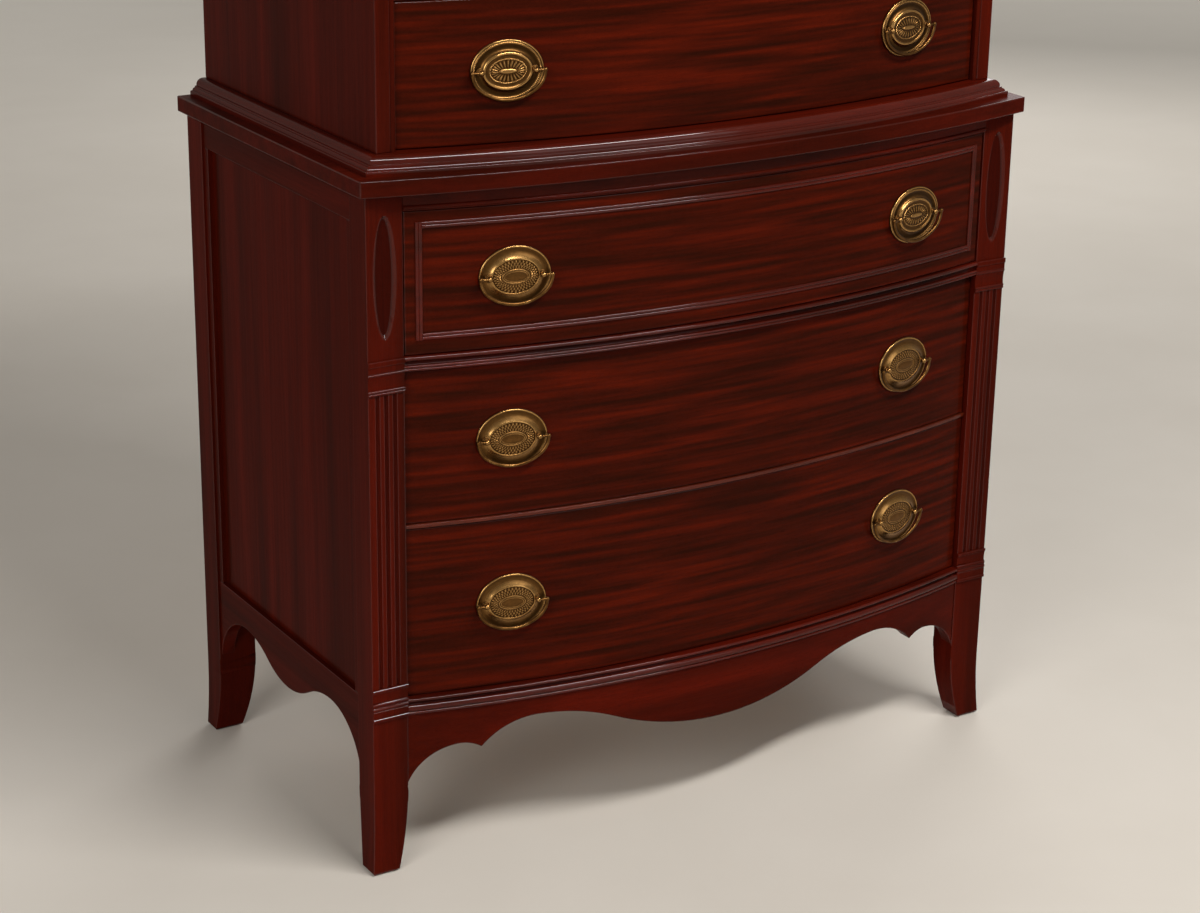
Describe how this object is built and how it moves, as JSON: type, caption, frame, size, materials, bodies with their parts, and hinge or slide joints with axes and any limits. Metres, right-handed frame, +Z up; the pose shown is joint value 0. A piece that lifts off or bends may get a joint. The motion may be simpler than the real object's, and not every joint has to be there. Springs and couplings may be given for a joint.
{
  "type": "chest-on-chest",
  "caption": "Bow-front chest-on-chest: a lower case on splayed legs, with fluted corner posts and a shaped apron, carries a narrower case of drawers; oval bail pulls.",
  "frame": {"origin": "on the floor, under the middle of the whole object's box", "axes": "+Z up, the bowed front faces -Y, +X to the right as seen from the front"},
  "size_m": [0.914, 0.544, 1.3832],
  "materials": {
    "mahogany": "dark red-brown gloss lacquer",
    "striped_mahogany": "ribbon-striped veneer, gloss lacquer",
    "lining": "plain unfinished wood",
    "brass": "aged satin brass"
  },
  "bodies": {
    "case": {"base_rail": "mahogany", "corner_blocks": "lining", "cornice": "mahogany", "front_apron": "mahogany", "front_post_left": "mahogany", "front_post_right": "mahogany", "lower_back": "lining", "lower_divider": "mahogany", "lower_runners": "lining", "lower_top_rail": "mahogany", "parting_rail": "mahogany", "rear_post_left": "mahogany", "rear_post_right": "mahogany", "side_frame_left": "mahogany", "side_frame_right": "mahogany", "side_panel_left": "mahogany", "side_panel_right": "mahogany", "top_board": "mahogany", "upper_back": "lining", "upper_bottom": "lining", "upper_dividers": "mahogany", "upper_edge_beads": "mahogany", "upper_runners": "lining", "upper_side_left": "mahogany", "upper_side_right": "mahogany", "upper_sub_top": "lining", "upper_top_rail": "mahogany", "waist_board": "mahogany", "waist_moulding": "mahogany"},
    "lower_drawer_bottom": {"lower_drawer_bottom_box": "lining", "lower_drawer_bottom_front": "striped_mahogany", "lower_drawer_bottom_pulls": "brass"},
    "lower_drawer_bottom_bail_left": {"lower_drawer_bottom_bail_left": "brass"},
    "lower_drawer_bottom_bail_right": {"lower_drawer_bottom_bail_right": "brass"},
    "lower_drawer_middle": {"lower_drawer_middle_box": "lining", "lower_drawer_middle_front": "striped_mahogany", "lower_drawer_middle_pulls": "brass"},
    "lower_drawer_middle_bail_left": {"lower_drawer_middle_bail_left": "brass"},
    "lower_drawer_middle_bail_right": {"lower_drawer_middle_bail_right": "brass"},
    "lower_drawer_top": {"lower_drawer_top_bead": "mahogany", "lower_drawer_top_box": "lining", "lower_drawer_top_front": "striped_mahogany", "lower_drawer_top_pulls": "brass"},
    "lower_drawer_top_bail_left": {"lower_drawer_top_bail_left": "brass"},
    "lower_drawer_top_bail_right": {"lower_drawer_top_bail_right": "brass"},
    "upper_drawer_bottom": {"upper_drawer_bottom_box": "lining", "upper_drawer_bottom_front": "striped_mahogany", "upper_drawer_bottom_pulls": "brass"},
    "upper_drawer_bottom_bail_left": {"upper_drawer_bottom_bail_left": "brass"},
    "upper_drawer_bottom_bail_right": {"upper_drawer_bottom_bail_right": "brass"},
    "upper_drawer_middle": {"upper_drawer_middle_box": "lining", "upper_drawer_middle_front": "striped_mahogany", "upper_drawer_middle_pulls": "brass"},
    "upper_drawer_middle_bail_left": {"upper_drawer_middle_bail_left": "brass"},
    "upper_drawer_middle_bail_right": {"upper_drawer_middle_bail_right": "brass"},
    "upper_drawer_top": {"upper_drawer_top_box": "lining", "upper_drawer_top_front": "striped_mahogany", "upper_drawer_top_pulls": "brass"},
    "upper_drawer_top_bail_left": {"upper_drawer_top_bail_left": "brass"},
    "upper_drawer_top_bail_right": {"upper_drawer_top_bail_right": "brass"}
  },
  "joints": [
    {"name": "lower_drawer_bottom_slide", "type": "slide", "parent": "case", "child": "lower_drawer_bottom", "axis": [0, -1, 0], "range_m": [0, 0.33]},
    {"name": "lower_drawer_bottom_bail_left_hinge", "type": "hinge", "parent": "lower_drawer_bottom", "child": "lower_drawer_bottom_bail_left", "pos_m": [-0.27882, -0.23602, 0.32045], "axis": [-0.9843, 0.1763, 0], "range_deg": [-3, 175]},
    {"name": "lower_drawer_bottom_bail_right_hinge", "type": "hinge", "parent": "lower_drawer_bottom", "child": "lower_drawer_bottom_bail_right", "pos_m": [0.27882, -0.23602, 0.32045], "axis": [-0.9843, -0.1763, 0], "range_deg": [-3, 175]},
    {"name": "lower_drawer_middle_slide", "type": "slide", "parent": "case", "child": "lower_drawer_middle", "axis": [0, -1, 0], "range_m": [0, 0.33]},
    {"name": "lower_drawer_middle_bail_left_hinge", "type": "hinge", "parent": "lower_drawer_middle", "child": "lower_drawer_middle_bail_left", "pos_m": [-0.27882, -0.23602, 0.52095], "axis": [-0.9843, 0.1763, 0], "range_deg": [-3, 175]},
    {"name": "lower_drawer_middle_bail_right_hinge", "type": "hinge", "parent": "lower_drawer_middle", "child": "lower_drawer_middle_bail_right", "pos_m": [0.27882, -0.23602, 0.52095], "axis": [-0.9843, -0.1763, 0], "range_deg": [-3, 175]},
    {"name": "lower_drawer_top_slide", "type": "slide", "parent": "case", "child": "lower_drawer_top", "axis": [0, -1, 0], "range_m": [0, 0.33]},
    {"name": "lower_drawer_top_bail_left_hinge", "type": "hinge", "parent": "lower_drawer_top", "child": "lower_drawer_top_bail_left", "pos_m": [-0.27882, -0.24161, 0.7125], "axis": [-0.9844, 0.1757, 0], "range_deg": [-3, 175]},
    {"name": "lower_drawer_top_bail_right_hinge", "type": "hinge", "parent": "lower_drawer_top", "child": "lower_drawer_top_bail_right", "pos_m": [0.27882, -0.24161, 0.7125], "axis": [-0.9844, -0.1757, 0], "range_deg": [-3, 175]},
    {"name": "upper_drawer_bottom_slide", "type": "slide", "parent": "case", "child": "upper_drawer_bottom", "axis": [0, -1, 0], "range_m": [0, 0.33]},
    {"name": "upper_drawer_bottom_bail_left_hinge", "type": "hinge", "parent": "upper_drawer_bottom", "child": "upper_drawer_bottom_bail_left", "pos_m": [-0.27382, -0.21415, 0.9357], "axis": [-0.9845, 0.1757, 0], "range_deg": [-3, 175]},
    {"name": "upper_drawer_bottom_bail_right_hinge", "type": "hinge", "parent": "upper_drawer_bottom", "child": "upper_drawer_bottom_bail_right", "pos_m": [0.27382, -0.21415, 0.9357], "axis": [-0.9845, -0.1757, 0], "range_deg": [-3, 175]},
    {"name": "upper_drawer_middle_slide", "type": "slide", "parent": "case", "child": "upper_drawer_middle", "axis": [0, -1, 0], "range_m": [0, 0.33]},
    {"name": "upper_drawer_middle_bail_left_hinge", "type": "hinge", "parent": "upper_drawer_middle", "child": "upper_drawer_middle_bail_left", "pos_m": [-0.27382, -0.21415, 1.0976], "axis": [-0.9845, 0.1757, 0], "range_deg": [-3, 175]},
    {"name": "upper_drawer_middle_bail_right_hinge", "type": "hinge", "parent": "upper_drawer_middle", "child": "upper_drawer_middle_bail_right", "pos_m": [0.27382, -0.21415, 1.0976], "axis": [-0.9845, -0.1757, 0], "range_deg": [-3, 175]},
    {"name": "upper_drawer_top_slide", "type": "slide", "parent": "case", "child": "upper_drawer_top", "axis": [0, -1, 0], "range_m": [0, 0.33]},
    {"name": "upper_drawer_top_bail_left_hinge", "type": "hinge", "parent": "upper_drawer_top", "child": "upper_drawer_top_bail_left", "pos_m": [-0.27382, -0.21415, 1.25], "axis": [-0.9845, 0.1757, 0], "range_deg": [-3, 175]},
    {"name": "upper_drawer_top_bail_right_hinge", "type": "hinge", "parent": "upper_drawer_top", "child": "upper_drawer_top_bail_right", "pos_m": [0.27382, -0.21415, 1.25], "axis": [-0.9845, -0.1757, 0], "range_deg": [-3, 175]}
  ]
}
